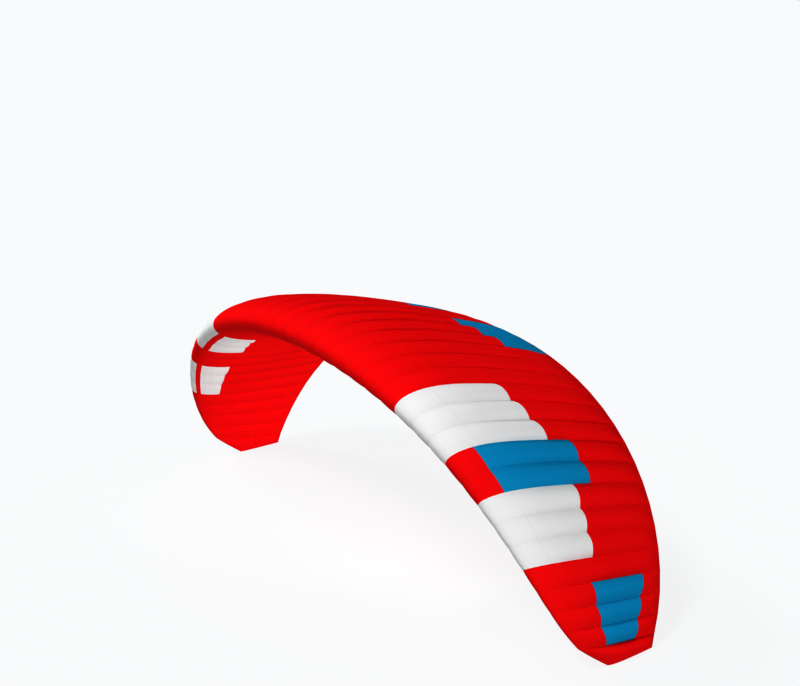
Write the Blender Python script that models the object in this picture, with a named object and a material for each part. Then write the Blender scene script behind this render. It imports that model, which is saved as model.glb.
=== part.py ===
"""A ram-air paraglider canopy in its flying shape, standing as an arch on its two wing tips.

The sail hangs on ribs, which stand square to the arch. Between two ribs lies a cell, whose cloth bellies out.
Each cell has its own upper panel, from the inlet band round the nose to the trailing edge. The inlet band and the
lower sail are sewn up in sections of several cells, and a flat end rib closes each tip and carries the weight.
The nose faces -Y, +X is the port side, and the origin is at the middle of the bottom of the canopy's box.
Lengths are in metres, angles in degrees, and shares are of the chord, the cell width or the half span.
"""

import math

import bpy
import numpy as np

# The arch
HALF_SPAN = 5.75  # from the centre line to the end rib, along the cloth
TIP_ANGLE = 90.0  # the arch's slope at the end rib
EVEN_BEND = 0.485  # this share of the bend is spread evenly, and the rest crowds to the tip
BEND_POWER = 3
LEAN = 8.0  # the arch leans back, which brings its weight over the tips
INCIDENCE = 1.0  # the ribs are pitched nose up on the arch

# The plan
ROOT_CHORD = 3.10
TIP_CHORD = 0.65
CHORD_POWER = 0.635
TIP_SWEEP = 1.78  # how far the tip's nose lies behind the middle's
SWEEP_POWER = 0.54
PIVOT = 0.25  # the share of the chord that lies on the arch

# The cells
CELLS = 20  # in each half
CELL_TAPER = 0.41  # the outermost cell is narrower than the middle one by this share
CELL_TAPER_POWER = 1.55
CELLS_IN_SECTION = 5  # the lower sail and the inlet band are in sections of this many cells

# The ribs' section. Half its thickness is the square root of the chord share, times what is left of the chord,
# times a blend of these three from the nose to the trailing edge.
NOSE_FULLNESS = 0.28
MIDDLE_FULLNESS = 0.15
TAIL_FULLNESS = 0.22
CAMBER = 0.009
CAMBER_AT = 0.25
TIP_THINNING = 0.55  # the end rib is thinner for its chord by this share
THINNING_POWER = 6

# The cloth
SHEET = 0.002
GAP = 0.0003  # between pieces that are sewn together
TRAILING_HALF = SHEET + GAP  # half the height of the sewn trailing edge

# How far the cloth bellies out at mid cell, as a share of the cell's width
BELLY = (  # chord share, upper sail, lower sail
    (0.00, 0.020, 0.015),
    (0.08, 0.050, 0.025),
    (0.20, 0.120, 0.060),
    (0.45, 0.190, 0.080),
    (0.80, 0.160, 0.080),
    (0.93, 0.125, 0.075),
    (1.00, 0.000, 0.000),
)

# Each piece's rows of points along a rib. A side is 1 above and -1 below. An edge that meets the inlet's other side
# is drawn back by half a gap, towards the nose at -1 and away from it at 1.
INLET_FROM = 0.025
INLET_TO = 0.055
UPPER_ROWS = (  # side, chord share, drawn back
    (-1, INLET_FROM, -1),
    (-1, 0.007, 0),
    (1, 0.0, 0),
    (1, 0.01, 0),
    (1, 0.04, 0),
    (1, 0.11, 0),
    (1, 0.22, 0),
    (1, 0.38, 0),
    (1, 0.62, 0),
    (1, 0.88, 0),
    (1, 1.0, 0),
)
INLET_ROWS = ((-1, INLET_FROM, 1), (-1, INLET_TO, -1))  # side, chord share, drawn back
LOWER_ROWS = (  # side, chord share, drawn back
    (-1, INLET_TO, 1),
    (-1, 0.16, 0),
    (-1, 0.34, 0),
    (-1, 0.60, 0),
    (-1, 0.88, 0),
    (-1, 1.0, 0),
)
UPPER_COLUMNS = 3  # strips of faces across each cell
LOWER_COLUMNS = 2

# Piece: colour and roughness
CLOTHS = {
    "upper": ((0.78, 0.004, 0.008, 1.0), 0.5),
    "lower": ((0.74, 0.004, 0.008, 1.0), 0.5),
    "inlet": ((0.70, 0.004, 0.008, 1.0), 0.6),
    "tip": ((0.72, 0.004, 0.008, 1.0), 0.55),
}

ARC_STEPS = 400  # the arch's curve is summed in this many steps
SMOOTH_UNDER = 35.0  # facets that meet at less than this are shaded as one surface


def unit(vector):
    return vector / np.linalg.norm(vector)


def leaned(vector):
    """The arch's own frame turned back about the X axis."""
    lean = math.radians(LEAN)
    x, y, z = vector
    return np.array((x, y * math.cos(lean) + z * math.sin(lean), z * math.cos(lean) - y * math.sin(lean)))


def bend(share):
    """The arch's slope at this share of the half span, in radians."""
    return math.radians(TIP_ANGLE) * (EVEN_BEND * share + (1 - EVEN_BEND) * share**BEND_POWER)


def arc_point(share):
    """Where the arch is, out from and above the middle of the canopy."""
    step = HALF_SPAN * share / ARC_STEPS
    middles = [bend(share * (k + 0.5) / ARC_STEPS) for k in range(ARC_STEPS)]
    out = sum(math.cos(slope) for slope in middles) * step
    down = sum(math.sin(slope) for slope in middles) * step
    return out, -down


def rib_shares():
    """Where the ribs stand along the half span, from the centre line's to the end rib."""
    widths = [1 - CELL_TAPER * ((cell + 0.5) / CELLS) ** CELL_TAPER_POWER for cell in range(CELLS)]
    return np.concatenate([[0.0], np.cumsum(widths)]) / sum(widths)


class Rib:
    """One rib's place and section."""

    def __init__(self, share):
        fall = 1 - share**2
        self.chord = TIP_CHORD + (ROOT_CHORD - TIP_CHORD) * fall**CHORD_POWER
        self.fullness = 1 - TIP_THINNING * share**THINNING_POWER
        slope, pitch = bend(share), math.radians(INCIDENCE)
        out, height = arc_point(share)
        nose = TIP_SWEEP * (1 - fall**SWEEP_POWER)
        self.pivot = leaned((out, nose + PIVOT * self.chord, height))
        self.outboard = leaned((math.cos(slope), 0.0, -math.sin(slope)))
        self.aft = leaned((-math.sin(pitch) * math.sin(slope), math.cos(pitch), -math.sin(pitch) * math.cos(slope)))
        self.up = leaned((math.cos(pitch) * math.sin(slope), math.sin(pitch), math.cos(pitch) * math.cos(slope)))
        self.foot = None  # the height at which the cloth is cut off level, on the end rib alone

    def section(self, side, share):
        """The section's height at this share of the chord, as a share of the chord."""
        rest = 1 - share
        full = NOSE_FULLNESS * rest**2 + 2 * MIDDLE_FULLNESS * share * rest + TAIL_FULLNESS * share**2
        half = self.fullness * math.sqrt(share) * rest * full
        half += TRAILING_HALF / self.chord * share
        if share < CAMBER_AT:
            line = CAMBER / CAMBER_AT**2 * (2 * CAMBER_AT * share - share**2)
        else:
            line = CAMBER / (1 - CAMBER_AT) ** 2 * (1 - 2 * CAMBER_AT + 2 * CAMBER_AT * share - share**2)
        return line + side * half

    def point(self, side, share):
        along = (share - PIVOT) * self.chord
        square = self.pivot + along * self.aft + self.section(side, share) * self.chord * self.up
        return square if self.foot is None else self.level(square, self.foot)

    def level(self, point, height):
        """The point slid along the arch to the given height."""
        return point + self.outboard * (height - point[2]) / self.outboard[2]

    def normal(self, side, share):
        """Square to the cloth in the rib's plane, pointing out of the canopy."""
        if share == 0:
            return -self.aft
        reach = min(share / 2, 0.001)
        ahead, behind = max(share - reach, 0.0), min(share + reach, 1.0)
        rise = (self.section(side, behind) - self.section(side, ahead)) / (behind - ahead)
        return unit(side * (self.up - rise * self.aft))


def belly(side, share):
    shares, upper, lower = zip(*BELLY)
    return float(np.interp(share, shares, upper if side > 0 else lower))


def strip_shares(first, last, columns, width):
    """Where a cell's lines of points lie across it. At the cloth's own edges they stop half a gap short."""
    shares = [column / columns for column in range(columns + 1)]
    if first:
        shares[0] += GAP / 2 / width
    if last:
        shares[-1] -= GAP / 2 / width
    return shares if first else shares[1:]


def cloth_line(near, far, across, width, rows):
    """The cloth's outer and inner points along one line, at this share of the way from one rib to the next."""
    outer, inner = [], []
    for side, share, drawn in rows:
        shares = [share + drawn * GAP / 2 / rib.chord for rib in (near, far)]
        base = near.point(side, shares[0]) * (1 - across) + far.point(side, shares[1]) * across
        out = unit(near.normal(side, shares[0]) * (1 - across) + far.normal(side, shares[1]) * across)
        rise = 4 * across * (1 - across) * belly(side, share) * width
        outer.append(base + out * rise)
        inner.append(base + out * (rise - SHEET))
    return outer, inner


def cloth_over(ribs, cells, rows, columns):
    """The cloth over these cells as an outer and an inner grid of points, with a line for each place across."""
    outer, inner = [], []
    for cell in cells:
        near, far = ribs[cell], ribs[cell + 1]
        width = np.linalg.norm(far.pivot - near.pivot)
        at_end_rib = far.foot is not None
        for across in strip_shares(cell == cells[0], cell == cells[-1] and not at_end_rib, columns, width):
            outer_line, inner_line = cloth_line(near, far, across, width, rows)
            if at_end_rib and across == 1:
                inner_line = [far.level(point, far.foot) for point in inner_line]
            outer.append(outer_line)
            inner.append(inner_line)
    return np.array(outer), np.array(inner)


def end_rib(rib, ground):
    """The end rib's outline at its two faces, as two closed rings."""
    rows = UPPER_ROWS[1:] + tuple(reversed(LOWER_ROWS)) + UPPER_ROWS[:1]
    ring = [rib.point(side, share) for side, share, _ in rows]
    return [np.array([rib.level(point, height) for point in ring]) for height in (ground + SHEET, ground)]


def turned(face):
    """The face seen from behind. It starts at the same corner, so a square is still cut along the same diagonal."""
    return face[:1] + face[:0:-1]


def sheet_faces(lines, rows):
    """The faces of a closed sheet whose outer grid of points comes first and its inner grid second."""
    count = lines * rows

    def quads(path):
        return [(a, b, b + count, a + count) for a, b in zip(path, path[1:])]

    faces = []
    for line in range(lines - 1):
        for row in range(rows - 1):
            corner = line * rows + row
            square = (corner, corner + 1, corner + rows + 1, corner + rows)
            faces += [square, turned(tuple(count + index for index in square))]
    first, last = range(rows), range(count - rows, count)
    front, back = range(0, count, rows), range(rows - 1, count, rows)
    for path in (list(reversed(first)), list(last), list(front), list(reversed(back))):
        faces += quads(path)
    return faces


def ring_faces(count):
    """The faces of a plate between two rings of points."""
    sides = [(k, (k + 1) % count, count + (k + 1) % count, count + k) for k in range(count)]
    return [tuple(reversed(range(count))), tuple(range(count, 2 * count)), *sides]


def enclosed(points, faces):
    """Six times the volume inside the faces, which is negative where they face inwards."""
    fans = [(face[0], b, c) for face in faces for b, c in zip(face[1:], face[2:])]
    corners = points[np.array(fans)]
    return (corners[:, 0] * np.cross(corners[:, 1], corners[:, 2])).sum()


def add_piece(name, cloth, points, faces):
    """A closed mesh object with its faces turned outwards."""
    mesh = bpy.data.meshes.new(name)
    if enclosed(points, faces) < 0:
        faces = [turned(face) for face in faces]
    mesh.from_pydata([tuple(point) for point in points], [], faces)
    mesh.validate()
    mesh.shade_smooth()
    mesh.set_sharp_from_angle(angle=math.radians(SMOOTH_UNDER))
    mesh.materials.append(cloth)
    bpy.context.scene.collection.objects.link(bpy.data.objects.new(name, mesh))


def make_cloth(name, colour, roughness):
    cloth = bpy.data.materials.new(f"{name}_cloth")
    cloth.use_nodes = True
    shader = cloth.node_tree.nodes["Principled BSDF"]
    shader.inputs["Base Color"].default_value = colour
    shader.inputs["Roughness"].default_value = roughness
    shader.inputs["Metallic"].default_value = 0.0
    return cloth


def half_canopy():
    """Every piece of the port half: name, cloth, points and faces."""
    ribs = [Rib(share) for share in rib_shares()]
    tip = ribs[-1]
    ground = tip.point(1, 0.5)[2]
    tip.foot = ground + SHEET + GAP
    pieces = []

    def add(name, cloth, grids):
        lines, rows = grids[0].shape[:2]
        pieces.append((name, cloth, np.concatenate([grid.reshape(-1, 3) for grid in grids]), sheet_faces(lines, rows)))

    for cell in range(CELLS):
        add(f"upper_{{}}_{cell + 1:02d}", "upper", cloth_over(ribs, [cell], UPPER_ROWS, UPPER_COLUMNS))
    for start in range(0, CELLS, CELLS_IN_SECTION):
        cells = list(range(start, start + CELLS_IN_SECTION))
        number = start // CELLS_IN_SECTION + 1
        add(f"inlet_{{}}_{number}", "inlet", cloth_over(ribs, cells, INLET_ROWS, LOWER_COLUMNS))
        add(f"lower_{{}}_{number}", "lower", cloth_over(ribs, cells, LOWER_ROWS, LOWER_COLUMNS))
    rings = end_rib(tip, ground)
    pieces.append(("tip_{}", "tip", np.concatenate(rings), ring_faces(len(rings[0]))))
    return pieces, ground


def main():
    for old in list(bpy.data.objects):
        bpy.data.objects.remove(old)
    pieces, ground = half_canopy()
    depths = np.concatenate([points[:, 1] for _, _, points, _ in pieces])
    origin = np.array((0.0, (depths.min() + depths.max()) / 2, ground))
    cloths = {name: make_cloth(name, *look) for name, look in CLOTHS.items()}
    for half, mirror in (("port", 1.0), ("starboard", -1.0)):
        for name, cloth, points, faces in pieces:
            placed = (points - origin) * np.array((mirror, 1.0, 1.0))
            add_piece(name.format(half), cloths[cloth], placed, faces)


main()
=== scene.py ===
"""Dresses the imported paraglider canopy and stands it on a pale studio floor.

The sails, the inlet band, the tip ribs and the trailing tape are built from the same ribs as the solids, at a finer
grain: the cloth is spanned straight from rib to rib, and Geometry Nodes then puff it up between the ribs and run
the stitching along the seams. The nose faces -Y, +X is the port side, and the canopy stands on its two wing tips.
"""

import math

import bpy
import numpy as np
from bpy.props import FloatProperty, FloatVectorProperty, IntProperty, PointerProperty
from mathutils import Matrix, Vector


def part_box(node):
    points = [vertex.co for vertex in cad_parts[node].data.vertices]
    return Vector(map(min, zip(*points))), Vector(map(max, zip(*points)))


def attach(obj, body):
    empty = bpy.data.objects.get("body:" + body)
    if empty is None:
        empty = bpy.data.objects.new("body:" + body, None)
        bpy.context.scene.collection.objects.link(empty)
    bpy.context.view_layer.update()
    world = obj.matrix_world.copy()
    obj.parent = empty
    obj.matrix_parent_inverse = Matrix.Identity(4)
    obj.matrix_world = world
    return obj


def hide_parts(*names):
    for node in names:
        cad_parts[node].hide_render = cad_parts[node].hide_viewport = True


bl_info = {
    "name": "Paraglider canopy",
    "version": (1, 0, 0),
    "blender": (4, 5, 0),
    "location": "3D View > Sidebar > Canopy",
    "description": "Builds the sewn cloth, the seams and the livery of a ram-air canopy around its packed solids",
    "category": "Object",
}

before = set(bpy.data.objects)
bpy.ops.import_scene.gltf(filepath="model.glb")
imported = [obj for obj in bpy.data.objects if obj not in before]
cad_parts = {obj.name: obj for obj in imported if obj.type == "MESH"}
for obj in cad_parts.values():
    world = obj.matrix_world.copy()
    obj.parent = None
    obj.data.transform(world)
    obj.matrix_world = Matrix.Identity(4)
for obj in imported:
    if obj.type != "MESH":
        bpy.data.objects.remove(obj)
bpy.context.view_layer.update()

CELLS = sum(name.startswith("upper_port_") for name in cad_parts)  # in each half
HALVES = (("port", 1.0), ("starboard", -1.0))  # name, the sign of X

THINNING_POWER = 6  # how late the ribs thin toward the tip
PIVOT = 0.25  # the share of the chord that lies on the arch
GAP = 0.0003  # between the solids that are sewn together
SEAM_GAP = 0.0001  # between the sheets that are sewn together
SLOPE_REACH = 0.001  # the section's slope is taken over this share of the chord to either side
ARC_STEPS = 400  # the arch's curve is summed in this many steps

# How far the cloth bellies out at mid cell, as a share of the cell's width
BELLY = (  # chord share, upper sail, lower sail
    (0.00, 0.020, 0.015),
    (0.08, 0.050, 0.025),
    (0.20, 0.120, 0.060),
    (0.45, 0.190, 0.080),
    (0.80, 0.160, 0.080),
    (0.93, 0.125, 0.075),
    (1.00, 0.000, 0.000),
)
FAIRING = 0.09  # the table's corners are rounded over this share of the chord to either side
FAIRING_STEPS = 24

# Where the inlet band lies under the nose, as shares of the chord
INLET_FROM = 0.025
INLET_TO = 0.055
NOSE_SEAM = 0.13  # the upper sail's nose panels end here

# Rows of points along the ribs
TAPE_ROWS = 3
NOSE_UNDER_ROWS = 6  # from the inlet band round to the nose
UPPER_ROWS = 84
INLET_ROWS = 5
LOWER_ROWS = 60
COLUMNS = 10  # strips of faces across each cell
TAPE_LIFT = 0.0001  # the trailing tape clears the cloth by this much
RIM_ANGLE = math.radians(35)  # facets that meet at more than this have a sharp edge
CROWN = 4  # makes across * (1 - across) a parabola that is 1 at mid cell

# The coloured panels. They run from seam to seam, and with each cell their ends lie further aft by their slant.
UPPER_BARS = (  # colour, first seam, last seam, front and back as shares of the chord, slant as a share of those
    ("white", 7, 10, -2 * INLET_FROM, 0.44, 0.05),
    ("white", 12, 15, -2 * INLET_FROM, 0.50, -0.044),
    ("blue", 10, 12, 0.10, 0.62, 0.0),
    ("blue", 16, 19, 0.36, 0.82, -0.05),
    ("blue", 1, 4, 0.66, 0.96, 0.05),
)
LOWER_BARS = (
    ("white", 7, 10, 0.0, 0.22, 0.055),
    ("white", 12, 15, 0.0, 0.24, -0.05),
)


# ---- Sizes and colours ----


class CanopyShape(bpy.types.PropertyGroup):
    """The arch, the plan and the ribs, which are those of the solids"""

    half_span: FloatProperty(
        name="Half span", description="From the centre line to the end rib along the cloth", default=5.75,
        unit="LENGTH",
    )
    tip_angle: FloatProperty(
        name="Tip angle", description="The arch's slope at the end rib", default=math.radians(90), unit="ROTATION"
    )
    even_bend: FloatProperty(
        name="Even bend", description="The share of the bend that is spread evenly", default=0.485, subtype="FACTOR"
    )
    bend_power: IntProperty(name="Bend power", description="How the rest of the bend crowds to the tip", default=3)
    lean: FloatProperty(
        name="Lean", description="How far the arch leans back", default=math.radians(8), unit="ROTATION"
    )
    incidence: FloatProperty(
        name="Incidence", description="How far the ribs are pitched nose up", default=math.radians(1), unit="ROTATION"
    )
    root_chord: FloatProperty(
        name="Middle chord", description="The length of the middle rib", default=3.10, unit="LENGTH"
    )
    tip_chord: FloatProperty(name="Tip chord", description="The length of the end rib", default=0.65, unit="LENGTH")
    chord_power: FloatProperty(name="Chord power", description="How full the plan's outline is", default=0.635)
    tip_sweep: FloatProperty(
        name="Tip sweep", description="How far the tip's nose lies behind the middle's", default=1.78, unit="LENGTH"
    )
    sweep_power: FloatProperty(name="Sweep power", description="How late the nose line sweeps back", default=0.54)
    cell_taper: FloatProperty(
        name="Cell taper", description="How much narrower the outermost cell is", default=0.41, subtype="FACTOR"
    )
    cell_taper_power: FloatProperty(name="Taper power", description="How late the cells narrow", default=1.55)
    nose_fullness: FloatProperty(
        name="Nose fullness", description="How full the section is at the nose", default=0.28
    )
    middle_fullness: FloatProperty(
        name="Middle fullness", description="How full the section is half way along", default=0.15
    )
    tail_fullness: FloatProperty(
        name="Tail fullness", description="How full the section is at the trailing edge", default=0.22
    )
    camber: FloatProperty(name="Camber", description="As a share of the chord", default=0.009, subtype="FACTOR")
    camber_at: FloatProperty(
        name="Camber at", description="Where the camber is largest along the chord", default=0.25, subtype="FACTOR"
    )
    tip_thinning: FloatProperty(
        name="Tip thinning", description="How much thinner the end rib is for its chord", default=0.55,
        subtype="FACTOR",
    )


class CanopyCloth(bpy.types.PropertyGroup):
    """The ripstop cloth and its colours"""

    sheet: FloatProperty(name="Thickness", description="Thickness of the cloth", default=0.002, unit="LENGTH")
    billow: FloatProperty(
        name="Billow", description="How far the cells puff up, where 1 is their flying shape", default=1.0, min=0.0
    )
    pull: FloatProperty(
        name="Pull", description="How much more steeply the upper sail falls to its seams by the tail",
        default=0.3, min=0.0,
    )
    red: FloatVectorProperty(
        name="Ground", description="Colour of most of the cloth", default=(0.94, 0.0095, 0.013), size=3,
        subtype="COLOR",
    )
    white: FloatVectorProperty(
        name="Nose bars", description="Colour of the bars at the nose", default=(0.90, 0.90, 0.90), size=3,
        subtype="COLOR",
    )
    blue: FloatVectorProperty(
        name="Sail bars", description="Colour of the bars on the sail", default=(0.0097, 0.385, 0.65), size=3,
        subtype="COLOR",
    )
    roughness: FloatProperty(name="Roughness", description="Of the coated cloth", default=0.55, subtype="FACTOR")
    ripstop_pitch: FloatProperty(
        name="Ripstop pitch", description="Distance between the woven grid's threads", default=0.005, unit="LENGTH"
    )


class CanopySewing(bpy.types.PropertyGroup):
    """The thread and the tape"""

    stitch_pitch: FloatProperty(
        name="Stitch pitch", description="From one stitch to the next", default=0.010, unit="LENGTH"
    )
    stitch_length: FloatProperty(
        name="Stitch length", description="Visible length of a stitch", default=0.007, unit="LENGTH"
    )
    thread: FloatProperty(name="Thread", description="Thickness of the thread", default=0.001, unit="LENGTH")
    row_spacing: FloatProperty(
        name="Row spacing", description="From each seam to the row of stitches on either side", default=0.004,
        unit="LENGTH",
    )
    thread_shade: FloatProperty(
        name="Thread shade", description="How much darker the thread is than the cloth", default=0.15,
        subtype="FACTOR",
    )
    tape_width: FloatProperty(
        name="Tape width", description="How far the trailing tape reaches on to the cloth", default=0.014,
        unit="LENGTH",
    )
    tape_thickness: FloatProperty(
        name="Tape thickness", description="Thickness of the trailing tape", default=0.0008, unit="LENGTH"
    )
    tape_colour: FloatVectorProperty(
        name="Tape colour", description="Colour of the trailing tape", default=(0.74, 0.01, 0.013), size=3,
        subtype="COLOR",
    )


class CanopyStage(bpy.types.PropertyGroup):
    """The camera, the floor and the picture's contrast"""

    camera_place: FloatVectorProperty(
        name="Camera place", description="Where the camera stands", default=(15.992, -9.890, 8.088), size=3,
        subtype="TRANSLATION", unit="LENGTH",
    )
    camera_turn: FloatVectorProperty(
        name="Camera turn", description="How the camera is turned", size=3, subtype="EULER", unit="ROTATION",
        default=(math.radians(73.909), math.radians(2.7015), math.radians(57.185)),
    )
    focal_length: FloatProperty(
        name="Focal length", description="Of the camera's lens, in millimetres", default=68.743, unit="CAMERA"
    )
    floor_size: FloatProperty(
        name="Floor size", description="Length of the floor's sides", default=600.0, unit="LENGTH"
    )
    floor_colour: FloatVectorProperty(
        name="Floor colour", description="Colour of the floor", default=(0.06, 0.06, 0.062), size=3, subtype="COLOR"
    )
    floor_glow: FloatProperty(
        name="Floor glow", description="Light that the backlit floor gives by itself", default=0.52, min=0.0
    )
    floor_lift: FloatProperty(
        name="Floor lift", description="How much brighter the floor looks than it lights", default=0.403, min=0.0
    )
    picture_gamma: FloatProperty(
        name="Picture gamma", description="Below 1 the picture has more contrast", default=0.625, min=0.1, max=5.0
    )


# ---- The ribs ----


def unit(vectors):
    return vectors / np.linalg.norm(vectors, axis=-1, keepdims=True)


def bend(shape, share):
    """The arch's slope at this share of the half span, in radians."""
    return shape.tip_angle * (shape.even_bend * share + (1 - shape.even_bend) * share**shape.bend_power)


def leaned(shape, x, y, z):
    """The arch's own frame turned back about the X axis."""
    cos, sin = math.cos(shape.lean), math.sin(shape.lean)
    return np.stack((x, y * cos + z * sin, z * cos - y * sin), axis=-1)


class Ribs:
    """The ribs of the port half, from the centre line's to the end rib. Arrays run over the ribs first."""

    def __init__(self, shape, sheet):
        self.shape = shape
        widths = np.cumsum(1 - shape.cell_taper * ((np.arange(CELLS) + 0.5) / CELLS) ** shape.cell_taper_power)
        share = np.concatenate([[0.0], widths / widths[-1]])
        fall = 1 - share**2
        self.share = share
        self.chord = shape.tip_chord + (shape.root_chord - shape.tip_chord) * fall**shape.chord_power
        self.fullness = 1 - shape.tip_thinning * share**THINNING_POWER
        middles = bend(shape, share[:, None] * (np.arange(ARC_STEPS) + 0.5) / ARC_STEPS)
        step = shape.half_span * share / ARC_STEPS
        out, height = np.cos(middles).sum(1) * step, -np.sin(middles).sum(1) * step
        nose = shape.tip_sweep * (1 - fall**shape.sweep_power)
        cos, sin = np.cos(bend(shape, share)), np.sin(bend(shape, share))
        level, rise = math.cos(shape.incidence), math.sin(shape.incidence)
        self.pivot = leaned(shape, out, nose + PIVOT * self.chord, height)
        self.outboard = leaned(shape, cos, 0 * cos, -sin)
        self.aft = leaned(shape, -rise * sin, level + 0 * sin, -rise * cos)
        self.up = leaned(shape, level * sin, rise + 0 * sin, level * cos)
        self.trailing_half = sheet + GAP
        self.width = np.linalg.norm(np.diff(self.pivot, axis=0), axis=1)
        ground = self.square(np.ones(1), np.full((CELLS + 1, 1), 0.5))[-1, 0, 2]
        self.foot = ground + sheet + GAP  # the height at which the cloth is cut off level at the end rib
        # The canopy stands with its end rib on the floor, as far aft as the frame has it.
        outline = np.concatenate([self.tip_outline(ground), self.tip_outline(ground + sheet)])
        self.origin = np.array((0.0, outline[:, 1].max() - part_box("tip_port")[1].y, ground))
        self.ground = ground

    def section(self, side, share):
        """The section's height, as a share of the chord. A side is 1 above and -1 below."""
        shape = self.shape
        rest = 1 - share
        full = shape.nose_fullness * rest**2
        full = full + 2 * shape.middle_fullness * share * rest + shape.tail_fullness * share**2
        half = self.fullness[:, None] * np.sqrt(share) * rest * full
        half += self.trailing_half / self.chord[:, None] * share
        top = shape.camber_at
        ahead = shape.camber / top**2 * (2 * top * share - share**2)
        behind = shape.camber / (1 - top) ** 2 * (1 - 2 * top + 2 * top * share - share**2)
        return np.where(share < top, ahead, behind) + side * half

    def square(self, side, share):
        """Points on the section of every rib, before the end rib's are slid to its foot."""
        along = (share - PIVOT) * self.chord[:, None]
        rise = self.section(side, share) * self.chord[:, None]
        return self.pivot[:, None] + along[..., None] * self.aft[:, None] + rise[..., None] * self.up[:, None]

    def level(self, points, height):
        """Points of the end rib slid along the arch to the given height."""
        outboard = self.outboard[-1]
        return points + outboard * ((height - points[..., 2:]) / outboard[2])

    def points(self, side, share):
        points = self.square(side, share)
        points[-1] = self.level(points[-1], self.foot)
        return points

    def normals(self, side, share):
        """Square to the cloth in each rib's plane, pointing out of the canopy."""
        reach = np.minimum(share / 2, SLOPE_REACH)
        ahead, behind = np.maximum(share - reach, 0.0), np.minimum(share + reach, 1.0)
        run = np.where(share == 0, 1.0, behind - ahead)
        slope = (self.section(side, behind) - self.section(side, ahead)) / run
        side = np.broadcast_to(side, share.shape)[..., None]
        normal = unit(side * (self.up[:, None] - slope[..., None] * self.aft[:, None]))
        return np.where(share[..., None] == 0, -self.aft[:, None], normal)

    def stood(self, points, mirror):
        """Points of either half where the frame has them."""
        return (points - self.origin) * (mirror, 1.0, 1.0)

    def tip_outline(self, height):
        """The end rib's outline at the given height, as a closed ring."""
        shares = 1 - np.cos(np.linspace(0, math.pi / 2, UPPER_ROWS))
        side = np.concatenate([np.ones(UPPER_ROWS), -np.ones(UPPER_ROWS - 1)])
        share = np.concatenate([shares, shares[:0:-1]])
        ring = self.square(side, np.tile(share, (CELLS + 1, 1)))[-1]
        return self.level(ring, height)


# ---- The cloth ----


def belly(side, share):
    """The belly at mid cell, as a share of the cell's width: the table's rows with rounded corners."""
    shares, upper, lower = (np.array(column) for column in zip(*BELLY))
    total = np.zeros_like(share)
    weights = 0.0
    for step in range(-FAIRING_STEPS, FAIRING_STEPS + 1):
        place = np.abs(share + FAIRING * step / FAIRING_STEPS)
        past = place > 1
        place = np.where(past, 2 - place, place)
        value = np.where(side > 0, np.interp(place, shares, upper), np.interp(place, shares, lower))
        weight = 1 + math.cos(math.pi * step / FAIRING_STEPS)
        total += weight * np.where(past, -value, value)
        weights += weight
    return total / weights


# Rows are the side, the chord share and the metres that a row is moved aft of it.


def upper_rows():
    """From the inlet band round the nose and aft."""
    under = INLET_FROM * (np.arange(NOSE_UNDER_ROWS, 0, -1) / NOSE_UNDER_ROWS) ** 2
    over = 1 - np.cos(np.linspace(0, math.pi / 2, UPPER_ROWS))
    side = np.concatenate([-np.ones(len(under)), np.ones(len(over))])
    drawn = np.zeros(len(side))
    drawn[0] = -SEAM_GAP / 2
    return side, np.concatenate([under, over]), drawn


def under_rows(first, last, count, drawn_last=0.0):
    """From the back of one seam to the next, under the canopy."""
    drawn = np.zeros(count)
    drawn[0], drawn[-1] = SEAM_GAP / 2, drawn_last
    return -np.ones(count), np.linspace(first, last, count), drawn


def tail_rows(side, width):
    """From this far ahead of the trailing edge to the edge itself."""
    return np.full(TAPE_ROWS, side), np.ones(TAPE_ROWS), np.linspace(-width, 0.0, TAPE_ROWS)


def whole_span(ribs):
    """Lines over every cell of a half, counted in cells from the centre line."""
    span = np.arange(CELLS * COLUMNS + 1) / COLUMNS
    span[0] = SEAM_GAP / 2 / ribs.width[0]
    return span


class Cloth:
    """Cloth over the port half's cells. Its arrays go by line, from the centre out, and then by row, going aft."""

    def __init__(self, ribs, rows, span):
        side, share, drawn = rows
        shares = share + drawn / ribs.chord[:, None]
        cell = np.minimum(span.astype(int), CELLS - 1)
        across = span - cell

        def spanned(values):
            part = across.reshape(-1, *([1] * (values.ndim - 1)))
            return values[cell] * (1 - part) + values[cell + 1] * part

        self.base = spanned(ribs.points(side, shares))
        self.outward = unit(spanned(ribs.normals(side, shares)))
        self.aft = unit(spanned(ribs.aft))
        self.slack = spanned(belly(side, shares)) * ribs.width[cell][:, None]
        # The rows between the inlet band and the nose lie under the canopy, and their chord shares are negative.
        shape = self.slack.shape
        self.across = np.broadcast_to(across[:, None], shape)
        self.span = np.broadcast_to(span[:, None], shape)
        self.chord = np.broadcast_to(np.where(np.arange(len(share)) < np.argmin(share), -share, share), shape)
        steps = np.linalg.norm(np.diff(self.base, axis=1), axis=2)
        self.run = np.concatenate([np.zeros((shape[0], 1)), np.cumsum(steps, axis=1)], axis=1)
        out = ribs.shape.half_span * np.interp(span, np.arange(CELLS + 1), ribs.share)
        self.out = np.broadcast_to(out[:, None], shape)

    def surface(self, billow):
        """The outer points once the cells are puffed up."""
        rise = CROWN * self.across * (1 - self.across) * self.slack * billow
        return self.base + self.outward * rise[..., None]


def sheet_faces(lines, rows):
    """The quads of a closed sheet whose outer grid of points comes first and its inner grid second."""
    count = lines * rows
    index = np.arange(count).reshape(lines, rows)
    corners = (index[:-1, :-1], index[:-1, 1:], index[1:, 1:], index[1:, :-1])
    outer = np.stack([corner.ravel() for corner in corners], axis=1)
    inner = outer[:, [0, 3, 2, 1]] + count
    walls = []
    for path in (index[0, ::-1], index[-1], index[:, 0], index[::-1, -1]):
        walls.append(np.stack([path[:-1], path[1:], path[1:] + count, path[:-1] + count], axis=1))
    return np.concatenate([outer, inner, *walls]).tolist()


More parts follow.
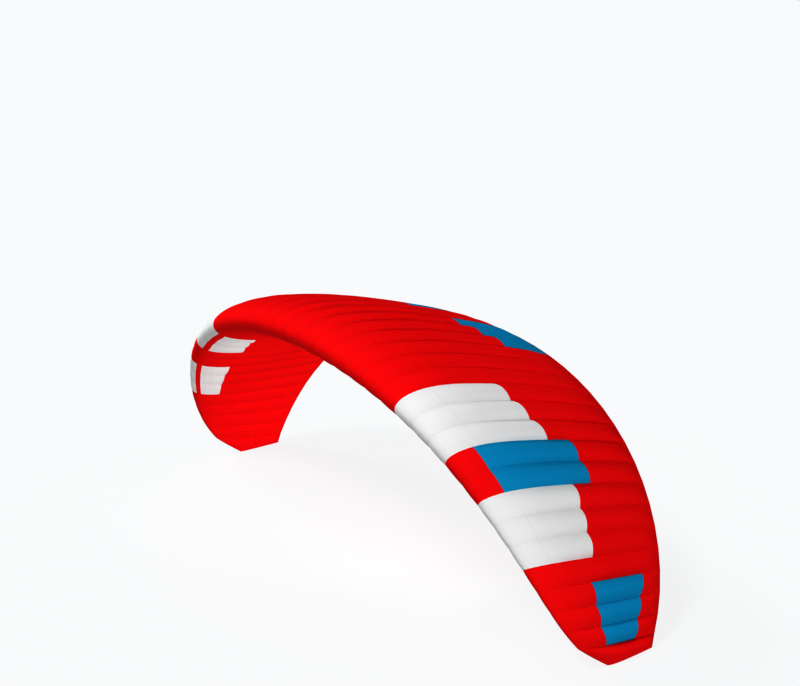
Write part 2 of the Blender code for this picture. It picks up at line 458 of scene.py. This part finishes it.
def enclosed(points, faces):
    """Six times the volume inside the faces, which is negative where they face inwards."""
    fans = [(face[0], b, c) for face in faces for b, c in zip(face[1:], face[2:])]
    corners = points[np.array(fans)]
    return (corners[:, 0] * np.cross(corners[:, 1], corners[:, 2])).sum()


def placed(name, data):
    """A new object with this mesh, light or camera."""
    thing = bpy.data.objects.new(name, data)
    bpy.context.scene.collection.objects.link(thing)
    return thing


def new_piece(name, points, faces):
    """A mesh object with its faces turned outwards and shaded smooth."""
    if enclosed(points, faces) < 0:
        faces = [(face[0], *face[:0:-1]) for face in faces]
    mesh = bpy.data.meshes.new(name)
    mesh.from_pydata(points.tolist(), [], faces)
    mesh.shade_smooth()
    return placed(name, mesh)


def add_attribute(mesh, name, kind, values, domain="POINT"):
    """Stores numbers on the mesh, with one row for each point, edge or corner."""
    attribute = mesh.attributes.new(name, kind, domain)
    number = bool if kind == "BOOLEAN" else np.float32
    field = "vector" if kind == "FLOAT_VECTOR" else "value"
    attribute.data.foreach_set(field, np.ascontiguousarray(values, dtype=number).ravel())


def add_weave_map(mesh, out, run):
    """A UV map in metres, out along the arch and back along the cloth, for the weave to follow."""
    corners = np.empty(len(mesh.loops), dtype=int)
    mesh.loops.foreach_get("vertex_index", corners)
    places = np.stack([out.ravel()[corners], run.ravel()[corners]], axis=1)
    mesh.uv_layers.new(name="weave").data.foreach_set("uv", places.ravel())


def mark_creases(mesh, rows):
    """Sharp edges along the seams and round the cloth's rim."""
    ends = np.empty(2 * len(mesh.edges), dtype=int)
    mesh.edges.foreach_get("vertices", ends)
    line, row = np.divmod(ends.reshape(-1, 2) % (len(mesh.vertices) // 2), rows)
    seam = (line[:, 0] == line[:, 1]) & (line[:, 0] % COLUMNS == 0)
    rim = (row[:, 0] == row[:, 1]) & np.isin(row[:, 0], (0, rows - 1))
    add_attribute(mesh, "sharp_edge", "BOOLEAN", seam | rim, "EDGE")


def spanned_piece(name, cloth, ribs, mirror, sheet):
    """The cloth on its straight lines from rib to rib, as a closed sheet, with all that the puffing up needs."""
    lines, rows = cloth.slack.shape
    inner = cloth.base - cloth.outward * sheet
    inner[-1] = ribs.level(inner[-1], ribs.foot)
    points = ribs.stood(np.stack([cloth.base, inner]).reshape(-1, 3), mirror)
    piece = new_piece(name, points, sheet_faces(lines, rows))
    mesh = piece.data
    for attribute in ("across", "slack", "span", "chord"):
        values = getattr(cloth, attribute)
        add_attribute(mesh, attribute, "FLOAT", np.stack([values, values]))
    add_attribute(mesh, "outward", "FLOAT_VECTOR", np.stack([cloth.outward, cloth.outward]) * (mirror, 1.0, 1.0))
    add_weave_map(mesh, np.stack([cloth.out, cloth.out]), np.stack([cloth.run, cloth.run]))
    mark_creases(mesh, rows)
    return piece


def flat_size(cloth, billow):
    """What the sewn panels measure laid flat, side by side: widest, longest and in area."""
    surface = cloth.surface(billow)
    wide = np.linalg.norm(np.diff(surface, axis=0), axis=2).sum(0).max()
    long = np.linalg.norm(np.diff(surface, axis=1), axis=2).sum(1).max()
    one, other = surface[1:, 1:] - surface[:-1, :-1], surface[1:, :-1] - surface[:-1, 1:]
    return (float(wide), float(long)), float(np.linalg.norm(np.cross(one, other), axis=2).sum() / 2)


# ---- Node trees ----


NODE_STEP = (220, -190)  # from one node to the next, to the right and down


class Wiring:
    """Adds nodes to a tree, links them and lays them out from left to right."""

    def __init__(self, tree):
        self.tree = tree
        self.ranks = {}
        self.heights = {}

    def feed(self, node, inputs):
        """Gives a node its inputs, which are numbers, colours or other nodes' outputs, and returns its rank."""
        rank = 0
        for key, value in inputs.items():
            if isinstance(value, bpy.types.NodeSocket):
                self.tree.links.new(value, node.inputs[key])
                rank = max(rank, self.ranks.get(value.node.name, 0) + 1)
            else:
                node.inputs[key].default_value = value
        return rank

    def add(self, kind, inputs=None, output=0, **settings):
        """A new node's output."""
        node = self.tree.nodes.new(kind)
        for name, value in settings.items():
            setattr(node, name, value)
        rank = self.ranks[node.name] = self.feed(node, inputs or {})
        self.heights[rank] = self.heights.get(rank, 0) + 1
        node.location = (NODE_STEP[0] * rank, NODE_STEP[1] * self.heights[rank])
        return node.outputs[output] if node.outputs else None

    def math(self, operation, one, other=0.0, **settings):
        return self.add("ShaderNodeMath", {0: one, 1: other}, operation=operation, **settings)

    def plus(self, one, other):
        return self.math("ADD", one, other)

    def minus(self, one, other, **settings):
        return self.math("SUBTRACT", one, other, **settings)

    def times(self, one, other):
        return self.math("MULTIPLY", one, other)

    def over(self, one, other):
        return self.math("DIVIDE", one, other)

    def vector_math(self, operation, one, other, key=1):
        return self.add("ShaderNodeVectorMath", {0: one, key: other}, operation=operation)

    def noise(self, place, scale, detail):
        return self.add("ShaderNodeTexNoise", {"Vector": place, "Scale": scale, "Detail": detail})

    def mix(self, share, one, other, **settings):
        return self.add("ShaderNodeMix", {0: share, 6: one, 7: other}, 2, data_type="RGBA", **settings)

    def shaded(self, colour, shade):
        """The colour times a grey of this shade."""
        grey = self.add("ShaderNodeCombineColor", {"Red": shade, "Green": shade, "Blue": shade})
        return self.mix(1.0, colour, grey, blend_type="MULTIPLY")

    def crown(self, across):
        """The puffed cell's parabola, from 0 at a seam to 1 at mid cell."""
        return self.times(self.times(across, self.minus(1.0, across)), float(CROWN))

    def attribute(self, name, kind="FLOAT"):
        """What the mesh stores under this name, for Geometry Nodes."""
        return self.add("GeometryNodeInputNamedAttribute", {"Name": name}, data_type=kind)

    def stored(self, name):
        """What the mesh stores under this name, for a material."""
        return self.add("ShaderNodeAttribute", None, "Fac", attribute_name=name)

    def effect(self, name, inputs):
        return self.add("ShaderNodeGroup", inputs, node_tree=effect_group(name))


def node_tree(name, kind, wire, inputs, outputs):
    """A node group with sockets of (label, type, default), wired the first time that it is asked for."""
    if name not in bpy.data.node_groups:
        tree = bpy.data.node_groups.new(name, kind)
        for label, socket_type, default in inputs:
            socket = tree.interface.new_socket(label, in_out="INPUT", socket_type=socket_type)
            if default is not None:
                socket.default_value = default
        for label, socket_type in outputs:
            tree.interface.new_socket(label, in_out="OUTPUT", socket_type=socket_type)
        wiring = Wiring(tree)
        entry = tree.nodes.new("NodeGroupInput")
        wiring.ranks[entry.name] = 0
        wiring.add("NodeGroupOutput", dict(enumerate(wire(wiring, entry.outputs))))
    return bpy.data.node_groups[name]


def geometry_tree(name, wire, sizes):
    """A Geometry Nodes tree that takes a geometry, these sizes and a material, and sets the material last."""

    def wire_whole(wiring, entry):
        whole = wiring.add("GeometryNodeRealizeInstances", {0: wire(wiring, entry)})
        return (wiring.add("GeometryNodeSetMaterial", {"Geometry": whole, "Material": entry["Material"]}),)

    sockets = [("Geometry", "NodeSocketGeometry", None)]
    sockets += [(label, "NodeSocketFloat", default) for label, default in sizes.items()]
    sockets.append(("Material", "NodeSocketMaterial", None))
    return node_tree(name, "GeometryNodeTree", wire_whole, sockets, [("Geometry", "NodeSocketGeometry")])


def wire_billow(wiring, entry):
    """Puffs spanned cloth up between the ribs."""
    full = wiring.times(wiring.crown(wiring.attribute("across")), wiring.attribute("slack"))
    rise = wiring.times(full, entry["Billow"])
    offset = wiring.vector_math("SCALE", wiring.attribute("outward", "FLOAT_VECTOR"), rise, "Scale")
    return wiring.add("GeometryNodeSetPosition", {"Geometry": entry["Geometry"], "Offset": offset})


def wire_stitches(wiring, entry):
    """Sews a row of stitches along each line of a mesh of edges."""
    lines = wiring.add("GeometryNodeMeshToCurve", {"Mesh": entry["Geometry"]})
    places = wiring.add("GeometryNodeCurveToPoints", {"Curve": lines, "Length": entry["Pitch"]}, mode="LENGTH")
    tangent = places.node.outputs["Tangent"]
    along = wiring.add("FunctionNodeAlignRotationToVector", {"Vector": tangent}, axis="X")
    outward = wiring.attribute("outward", "FLOAT_VECTOR")
    seated = wiring.add(
        "FunctionNodeAlignRotationToVector", {"Rotation": along, "Vector": outward}, axis="Z", pivot_axis="X"
    )
    # A stitch is a bead of eight faces, 1 across, that is stretched to its size.
    bead = wiring.add("GeometryNodeMeshUVSphere", {"Segments": 4, "Rings": 2, "Radius": 0.5})
    size = wiring.add(
        "ShaderNodeCombineXYZ", {"X": entry["Length"], "Y": entry["Thread"], "Z": entry["Thread"]}
    )
    return wiring.add(
        "GeometryNodeInstanceOnPoints", {"Points": places, "Instance": bead, "Rotation": seated, "Scale": size}
    )


def run_tree(piece, name, wire, sizes, material):
    """Runs a tree on the piece with these named sizes, and leaves the result as its plain mesh."""
    tree = geometry_tree(name, wire, sizes)
    values = {**sizes, "Material": material}
    modifier = piece.modifiers.new(tree.name, "NODES")
    modifier.node_group = tree
    for item in tree.interface.items_tree:
        if item.item_type == "SOCKET" and item.in_out == "INPUT" and item.name in values:
            modifier[item.identifier] = values[item.name]
    depsgraph = bpy.context.evaluated_depsgraph_get()
    finished = piece.evaluated_get(depsgraph)
    mesh = bpy.data.meshes.new_from_object(finished, preserve_all_data_layers=True, depsgraph=depsgraph)
    piece.modifiers.clear()
    bare = piece.data
    piece.data = mesh
    bpy.data.meshes.remove(bare)
    mesh.name = piece.name


# ---- Finishes ----


TONE_DETAIL = 3.0
FINE_DETAIL = 2.0  # of the gathers and of the tape's grain
GATHER_GRAIN = (4.0, 26.0, 0.0)  # gathers to the metre, along the arch and along the chord
TAPE_GRAIN = 300.0  # specks to the metre
RIB_GRAIN = 40.0
GRAIN_SHADES = (0.85, 1.15)  # the darkest and the lightest of the tape's grain
THREAD_ROUGHNESS = 0.7
SPECULAR = 0.005  # the coating is dull
WEAVE_HEIGHT = 0.00008  # how far the grid's threads stand up


def wire_ripstop(wiring, entry):
    """The thicker threads that stand up every few millimetres in both directions."""
    parts = wiring.add("ShaderNodeSeparateXYZ", {0: entry["Place"]})
    threads = []
    for way in ("X", "Y"):
        fold = wiring.math("PINGPONG", parts.node.outputs[way], wiring.times(entry["Pitch"], 0.5))
        near = wiring.over(fold, wiring.times(entry["Pitch"], entry["Thread share"]))
        threads.append(wiring.minus(1.0, near, use_clamp=True))
    grid = wiring.math("MAXIMUM", *threads)
    return grid, wiring.minus(1.0, wiring.times(grid, entry["Shade"]))


def wire_tone(wiring, entry):
    """Uneven dye and handling, slow over the cloth."""
    even = wiring.minus(wiring.noise(entry["Place"], entry["Scale"], TONE_DETAIL), 0.5)
    return wiring.plus(1.0, wiring.times(even, entry["Amount"])), wiring.times(even, entry["Wear"])


def wire_gathers(wiring, entry):
    """The cloth drawn in along the ribs: it falls more steeply to a seam there, in small gathers."""
    gathers = wiring.noise(wiring.vector_math("MULTIPLY", entry["Place"], GATHER_GRAIN), 1.0, FINE_DETAIL)
    middle = wiring.math("ABSOLUTE", wiring.minus(entry["Across"], 0.5))
    nearness = wiring.math("POWER", wiring.times(middle, 2.0), entry["Closeness"])
    small = wiring.times(wiring.minus(gathers, 0.5), nearness)
    belly = wiring.times(wiring.crown(entry["Across"]), entry["Slack"])
    steeper = wiring.times(belly, wiring.times(entry["Pull"], entry["Chord"]))
    return (wiring.plus(wiring.times(small, entry["Gather height"]), steeper),)


def wire_painted_crease_shade_and_seam_line(wiring, entry):
    """Painted shade in the creases along the ribs, darker where the crease is deeper, and a thin darker line of
    doubled cloth along the nose panels' seam.
    """
    edge = wiring.math("PINGPONG", entry["Across"], 0.5)
    near = wiring.minus(1.0, wiring.over(edge, entry["Reach"]), use_clamp=True)
    # Painted shade: darker close to each rib, more so where the cell bellies deeper
    crease = wiring.times(wiring.math("POWER", near, 2.0), entry["Slack"])
    soft = wiring.times(crease, entry["Depth"])
    away = wiring.math("ABSOLUTE", wiring.minus(entry["Chord"], entry["Seam"]))
    # The nose seam's thin line is doubled cloth, not shade
    line = wiring.times(wiring.math("LESS_THAN", away, entry["Line"]), entry["Line shade"])
    return (wiring.minus(1.0, wiring.math("MAXIMUM", soft, line)),)


def wire_bar(wiring, entry):
    """1 inside a bar of whole cells, whose ends are cut aslant."""
    lean = wiring.times(wiring.minus(entry["Span"], entry["First"]), entry["Slant"])
    chord = wiring.over(entry["Chord"], wiring.plus(1.0, lean))
    inside = wiring.math("GREATER_THAN", entry["Span"], entry["First"])
    inside = wiring.times(inside, wiring.math("LESS_THAN", entry["Span"], entry["Last"]))
    inside = wiring.times(inside, wiring.math("GREATER_THAN", chord, entry["Front"]))
    return (wiring.times(inside, wiring.math("LESS_THAN", chord, entry["Back"])),)


EFFECTS = {  # what wires each shader group, its inputs with their defaults, and its outputs
    "ripstop grid": (
        wire_ripstop,
        {"Place": None, "Pitch": 0.005, "Thread share": 0.12, "Shade": 0.04},
        ("Height", "Shade"),
    ),
    "cloth tone": (wire_tone, {"Place": None, "Scale": 1.3, "Amount": 0.06, "Wear": 0.2}, ("Shade", "Wear")),
    "seam gathers": (
        wire_gathers,
        {"Place": None, "Across": 0.5, "Slack": 0.0, "Chord": 0.5, "Closeness": 5.0, "Gather height": 0.004,
         "Pull": 0.0},
        ("Height",),
    ),
    # painted shade in the creases along the ribs, and the nose seam's thin line of doubled cloth
    "painted crease shade and seam line": (
        wire_painted_crease_shade_and_seam_line,
        {"Across": 0.5, "Slack": 0.0, "Chord": 0.5, "Reach": 0.25, "Depth": 1.3, "Seam": NOSE_SEAM,
         "Line": 0.0015, "Line shade": 0.07},
        ("Shade",),
    ),
    "livery bar": (
        wire_bar,
        dict.fromkeys(("Span", "Chord", "First", "Last", "Front", "Back", "Slant"), 0.0),
        ("Mask",),
    ),
}


def effect_group(name):
    """One of the shader groups. An input without a default is a vector."""
    wire, inputs, outputs = EFFECTS[name]
    sockets = [(label, "NodeSocketVector" if default is None else "NodeSocketFloat", default)
               for label, default in inputs.items()]
    return node_tree(name, "ShaderNodeTree", wire, sockets, [(label, "NodeSocketFloat") for label in outputs])


def rgba(colour):
    return (*colour, 1.0)


def new_finish(name):
    """An empty material with its wiring and its Principled shader."""
    finish = bpy.data.materials.new(name)
    finish.use_nodes = True
    shader = finish.node_tree.nodes["Principled BSDF"]
    return finish, Wiring(finish.node_tree), shader


def barred_colour(wiring, cloth, bars, chord):
    """The red ground with the bars laid over it."""
    span = wiring.stored("span")
    colour = rgba(cloth.red)
    for name, first, last, front, back, slant in bars:
        sizes = {"Span": span, "Chord": chord, "First": first, "Last": last}
        mask = wiring.effect("livery bar", {**sizes, "Front": front, "Back": back, "Slant": slant})
        colour = wiring.mix(mask, colour, rgba(getattr(cloth, name)))
    return colour


def sail_finish(name, cloth, bars, pull):
    """Coated ripstop nylon: its colours, its woven grid, uneven tone, the pull of the seams and painted shade in the
    creases along the ribs.
    """
    finish, wiring, shader = new_finish(name)
    place = wiring.add("ShaderNodeUVMap", None, uv_map="weave")
    space = wiring.add("ShaderNodeTexCoord", None, "Object")
    grid = wiring.effect("ripstop grid", {"Place": place, "Pitch": cloth.ripstop_pitch})
    tone = wiring.effect("cloth tone", {"Place": space})
    across = wiring.math("FRACT", wiring.stored("span"))
    slack, chord = wiring.stored("slack"), wiring.stored("chord")
    draw = {"Place": place, "Across": across, "Slack": slack, "Chord": wiring.math("ABSOLUTE", chord), "Pull": pull}
    gathers = wiring.effect("seam gathers", draw)
    # Painted shade in the creases along the ribs, with the nose seam's thin line
    seams = wiring.effect("painted crease shade and seam line", {"Across": across, "Slack": slack, "Chord": chord})
    colour = barred_colour(wiring, cloth, bars, chord)
    # The weave, the uneven tone and the painted crease shade, multiplied together
    shade = wiring.times(wiring.times(grid.node.outputs["Shade"], tone), seams)
    relief = wiring.plus(wiring.times(grid, WEAVE_HEIGHT), gathers)
    wiring.feed(shader, {
        "Base Color": wiring.shaded(colour, shade),
        "Roughness": wiring.plus(cloth.roughness, tone.node.outputs["Wear"]),
        "Specular IOR Level": SPECULAR,
        "Normal": wiring.add("ShaderNodeBump", {"Strength": 1.0, "Distance": 1.0, "Height": relief}),
    })
    return finish


def thread_finish(name, cloth, bars, darker):
    """Thread in each panel's own colour, a little darker than its cloth."""
    finish, wiring, shader = new_finish(name)
    colour = barred_colour(wiring, cloth, bars, wiring.stored("chord"))
    worn = wiring.mix(darker, colour, rgba((0.0, 0.0, 0.0)))
    wiring.feed(shader, {"Base Color": worn, "Roughness": THREAD_ROUGHNESS, "Specular IOR Level": SPECULAR})
    return finish


def tape_finish(name, colour, roughness, scale):
    """Woven tape: one colour with a fine uneven grain."""
    finish, wiring, shader = new_finish(name)
    grain = wiring.noise(wiring.add("ShaderNodeTexCoord", None, "Object"), scale, FINE_DETAIL)
    dark, light = GRAIN_SHADES
    shade = wiring.add("ShaderNodeMapRange", {"Value": grain, "To Min": dark, "To Max": light})
    dyed = wiring.shaded(rgba(colour), shade)
    wiring.feed(shader, {"Base Color": dyed, "Roughness": roughness, "Specular IOR Level": SPECULAR})
    return finish


# ---- Pieces ----


def nodes_named(start, half):
    """The frame's nodes of one kind on one side, such as upper_port_01 to upper_port_20."""
    return sorted(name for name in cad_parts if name.startswith(f"{start}_{half}"))


def settle(piece, stands_for):
    """Ties the piece to the frame's one body, in place of its plain solids."""
    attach(piece, "root")
    if stands_for:
        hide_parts(*stands_for)


def make_sail(scene, name, rows, bars, pull=0.0):
    """One sail of each half, puffed up; what its cloth measures laid flat is worked out but not used."""
    cloth = scene.canopy_cloth
    finish = sail_finish(name.replace("_", " ") + " cloth", cloth, bars, pull)
    ribs = Ribs(scene.canopy_shape, cloth.sheet)
    spanned = Cloth(ribs, rows, whole_span(ribs))
    flat, area = flat_size(spanned, cloth.billow)
    for half, mirror in HALVES:
        piece = spanned_piece(f"{name}_{half}", spanned, ribs, mirror, cloth.sheet)
        run_tree(piece, "cell billow", wire_billow, {"Billow": cloth.billow}, finish)
        settle(piece, nodes_named(name.split("_")[0], half))


class CANOPY_OT_upper_sail(bpy.types.Operator):
    """Sew the upper sail of each half, from the inlet band round the nose to the trailing edge"""

    bl_idname = "canopy.upper_sail"
    bl_label = "Upper sail"

    def execute(self, context):
        scene = context.scene
        make_sail(scene, "upper_sail", upper_rows(), UPPER_BARS, scene.canopy_cloth.pull)
        return {"FINISHED"}


class CANOPY_OT_lower_sail(bpy.types.Operator):
    """Sew the lower sail of each half, from the inlet band to the trailing edge"""

    bl_idname = "canopy.lower_sail"
    bl_label = "Lower sail"

    def execute(self, context):
        make_sail(context.scene, "lower_sail", under_rows(INLET_TO, 1.0, LOWER_ROWS), LOWER_BARS)
        return {"FINISHED"}


class CANOPY_OT_inlet_band(bpy.types.Operator):
    """Sew the band that closes the nose between the two sails"""

    bl_idname = "canopy.inlet_band"
    bl_label = "Inlet band"

    def execute(self, context):
        rows = under_rows(INLET_FROM, INLET_TO, INLET_ROWS, -SEAM_GAP / 2)
        make_sail(context.scene, "inlet_band", rows, ())
        return {"FINISHED"}


def seam_lines(ribs, rows, crossings, drawn, sewing, billow):
    """Lines of points with their directions and places: two along each rib's seam, one along each seam across."""
    span = [sewing.row_spacing / ribs.width[0]]
    for seam in range(1, CELLS):
        span += [seam - sewing.row_spacing / ribs.width[seam - 1], seam + sewing.row_spacing / ribs.width[seam]]
    span.append(CELLS - sewing.row_spacing / ribs.width[-1])
    along = Cloth(ribs, rows, np.array(span))
    lines = list(zip(along.surface(billow), along.outward, along.span, along.chord))
    for side, share in crossings:
        row = (np.array([side]), np.array([share]), np.array([drawn]))
        across = Cloth(ribs, row, whole_span(ribs))
        chord = np.full(len(across.span), side * share)
        lines.append((across.surface(billow)[:, 0], across.outward[:, 0], across.span[:, 0], chord))
    return lines


def thread_path(name, lines, ribs, mirror):
    """A mesh of edges alone, which the stitches are set along."""
    points, outward, span, chord = (np.concatenate(column) for column in zip(*lines))
    edges, start = [], 0
    for line, *_ in lines:
        edges += [(k, k + 1) for k in range(start, start + len(line) - 1)]
        start += len(line)
    mesh = bpy.data.meshes.new(name)
    mesh.from_pydata(ribs.stood(points, mirror).tolist(), edges, [])
    add_attribute(mesh, "outward", "FLOAT_VECTOR", outward * (mirror, 1.0, 1.0))
    add_attribute(mesh, "span", "FLOAT", span)
    add_attribute(mesh, "chord", "FLOAT", chord)
    return placed(name, mesh)


class CANOPY_OT_stitching(bpy.types.Operator):
    """Sew two rows of stitches along every seam"""

    bl_idname = "canopy.stitching"
    bl_label = "Stitching"

    def execute(self, context):
        scene = context.scene
        sewing, cloth = scene.canopy_sewing, scene.canopy_cloth
        ribs = Ribs(scene.canopy_shape, cloth.sheet)
        sizes = {"Pitch": sewing.stitch_pitch, "Length": sewing.stitch_length, "Thread": sewing.thread}
        sails = (
            ("upper", UPPER_BARS, upper_rows(), ((1.0, NOSE_SEAM), (-1.0, INLET_FROM)), -sewing.row_spacing),
            ("lower", LOWER_BARS, under_rows(INLET_TO, 1.0, LOWER_ROWS), ((-1.0, INLET_TO),), sewing.row_spacing),
        )
        for name, bars, rows, crossings, drawn in sails:
            finish = thread_finish(f"{name} thread", cloth, bars, sewing.thread_shade)
            lines = seam_lines(ribs, rows, crossings, drawn, sewing, cloth.billow)
            for half, mirror in HALVES:
                piece = thread_path(f"{name}_stitches_{half}", lines, ribs, mirror)
                run_tree(piece, "stitch rows", wire_stitches, sizes, finish)
                settle(piece, ())
        return {"FINISHED"}


class CANOPY_OT_trailing_tape(bpy.types.Operator):
    """Bind the trailing edge of both sails with a folded tape"""

    bl_idname = "canopy.trailing_tape"
    bl_label = "Trailing tape"

    def execute(self, context):
        scene = context.scene
        sewing, cloth = scene.canopy_sewing, scene.canopy_cloth
        ribs = Ribs(scene.canopy_shape, cloth.sheet)
        finish = tape_finish("trailing tape", sewing.tape_colour, cloth.roughness, TAPE_GRAIN)
        upper, lower = (Cloth(ribs, tail_rows(side, sewing.tape_width), whole_span(ribs)) for side in (1.0, -1.0))
        skin = np.concatenate([upper.surface(cloth.billow), lower.surface(cloth.billow)[:, ::-1]], axis=1)
        outward = np.concatenate([upper.outward, lower.outward[:, ::-1]], axis=1)
        # At the edge itself the tape turns round behind the cloth.
        turn = np.array([0] * (TAPE_ROWS - 1) + [1, 1] + [0] * (TAPE_ROWS - 1))[None, :, None]
        outward = outward + turn * upper.aft[:, None]
        outer, inner = skin + outward * (TAPE_LIFT + sewing.tape_thickness), skin + outward * TAPE_LIFT
        for grid in (outer, inner):
            grid[-1] = ribs.level(grid[-1], ribs.foot)
        lines, rows = skin.shape[:2]
        for half, mirror in HALVES:
            points = ribs.stood(np.stack([outer, inner]).reshape(-1, 3), mirror)
            piece = new_piece(f"trailing_tape_{half}", points, sheet_faces(lines, rows))
            piece.data.set_sharp_from_angle(angle=RIM_ANGLE)
            piece.data.materials.append(finish)
            settle(piece, ())
        return {"FINISHED"}


class CANOPY_OT_tip_ribs(bpy.types.Operator):
    """Close each wing tip with its flat end rib"""

    bl_idname = "canopy.tip_ribs"
    bl_label = "Tip ribs"

    def execute(self, context):
        cloth = context.scene.canopy_cloth
        ribs = Ribs(context.scene.canopy_shape, cloth.sheet)
        finish = tape_finish("tip rib cloth", cloth.red, cloth.roughness, RIB_GRAIN)
        rings = [ribs.tip_outline(ribs.ground + height) for height in (cloth.sheet, 0.0)]
        count = len(rings[0])
        # The ring runs aft above and back below, so point k lies across the plate from point count - k.
        top = [(0, 1, count - 1)] + [(k, k + 1, count - k - 1, count - k) for k in range(1, UPPER_ROWS - 1)]
        bottom = [tuple(count + index for index in (face[0], *face[:0:-1])) for face in top]
        walls = [((k + 1) % count, k, count + k, count + (k + 1) % count) for k in range(count)]
        for half, mirror in HALVES:
            points = ribs.stood(np.concatenate(rings), mirror)
            piece = new_piece(f"tip_rib_{half}", points, top + bottom + walls)
            piece.data.set_sharp_from_angle(angle=RIM_ANGLE)
            piece.data.materials.append(finish)
            settle(piece, nodes_named("tip", half))
        return {"FINISHED"}


# ---- The stage ----

SUNS = (  # name, strength, softness in degrees, the way to the light
    ("top light", 2.22, 15.0, (0.16, -0.56, 0.81)),
    ("side light", 1.68, 15.0, (0.99, 0.10, 0.06)),
    ("far light", 1.50, 15.0, (-0.75, -0.19, 0.63)),
)
PANELS = (  # name, power in watts, length of the sides, spread in degrees, place, the way to the light
    ("under fill", 48.0, 3.0, 140.0, (1.6, 0.0, 0.9), (0.85, 0.0, -0.52)),
    ("tip fill", 17.0, 1.0, 50.0, (3.0, -0.2, 0.75), (0.98, 0.14, 0.06)),
)


FLOOR_TINT = (0.983, 0.995, 1.0)  # of the light under the floor


def hang_light(name, kind, strength, way):
    light = placed(name, bpy.data.lights.new(name, kind))
    light.data.energy = strength
    light.rotation_euler = Vector(way).to_track_quat("Z", "Y").to_euler()
    return light


class CANOPY_OT_stage(bpy.types.Operator):
    """Lay the pale floor, hang the soft lights and stand the camera"""

    bl_idname = "canopy.stage"
    bl_label = "Stage"

    def execute(self, context):
        scene = context.scene
        stage = scene.canopy_stage
        half = stage.floor_size / 2
        corners = np.array([(-half, -half, 0.0), (half, -half, 0.0), (half, half, 0.0), (-half, half, 0.0)])
        floor = new_piece("floor", corners, [(0, 1, 2, 3)])
        paint, wiring, shader = new_finish("pale floor")
        # The floor looks brighter to the camera than the light that it throws on the canopy.
        path = wiring.add("ShaderNodeLightPath", None, "Is Camera Ray")
        wiring.feed(shader, {
            "Base Color": rgba(stage.floor_colour),
            "Roughness": 1.0,
            "Specular IOR Level": 0.0,
            "Emission Color": rgba(FLOOR_TINT),
            "Emission Strength": wiring.plus(stage.floor_glow, wiring.times(path, stage.floor_lift)),
        })
        floor.data.materials.append(paint)
        for name, strength, softness, way in SUNS:
            hang_light(name, "SUN", strength, way).data.angle = math.radians(softness)
        for name, power, side, spread, place, way in PANELS:
            light = hang_light(name, "AREA", power, way)
            light.data.size = side
            light.data.spread = math.radians(spread)
            light.location = place
            light.visible_camera = False
        sky = bpy.data.worlds.new("dark sky")  # it gives no light, and is black past the floor's edge
        sky.use_nodes = True
        sky.node_tree.nodes["Background"].inputs["Strength"].default_value = 0.0
        scene.world = sky
        lens = bpy.data.cameras.new("camera")
        lens.lens = stage.focal_length
        lens.clip_end = 2 * stage.floor_size
        camera = placed("camera", lens)
        camera.location = stage.camera_place
        camera.rotation_euler = stage.camera_turn
        scene.camera = camera
        scene.view_settings.view_transform = "Standard"
        scene.view_settings.gamma = stage.picture_gamma
        return {"FINISHED"}


class CANOPY_PT_panel(bpy.types.Panel):
    """The canopy's sizes and the steps that build it"""

    bl_idname = "CANOPY_PT_panel"
    bl_label = "Canopy"
    bl_space_type = "VIEW_3D"
    bl_region_type = "UI"
    bl_category = "Canopy"

    def draw(self, context):
        for group in GROUPS:
            box = self.layout.box()
            for name in group.__annotations__:
                box.prop(getattr(context.scene, GROUPS[group]), name)
        for step in STEPS:
            self.layout.operator(step.bl_idname)


GROUPS = {
    CanopyShape: "canopy_shape",
    CanopyCloth: "canopy_cloth",
    CanopySewing: "canopy_sewing",
    CanopyStage: "canopy_stage",
}
STEPS = (
    CANOPY_OT_upper_sail,
    CANOPY_OT_lower_sail,
    CANOPY_OT_inlet_band,
    CANOPY_OT_tip_ribs,
    CANOPY_OT_trailing_tape,
    CANOPY_OT_stitching,
    CANOPY_OT_stage,
)


def register():
    for group, name in GROUPS.items():
        bpy.utils.register_class(group)
        setattr(bpy.types.Scene, name, PointerProperty(type=group))
    for kind in (*STEPS, CANOPY_PT_panel):
        bpy.utils.register_class(kind)


def unregister():
    for kind in (CANOPY_PT_panel, *reversed(STEPS)):
        bpy.utils.unregister_class(kind)
    for group, name in reversed(GROUPS.items()):
        delattr(bpy.types.Scene, name)
        bpy.utils.unregister_class(group)


def main():
    register()
    for step in STEPS:
        getattr(bpy.ops.canopy, step.bl_idname.split(".")[1])()


if __name__ == "__main__":
    main()
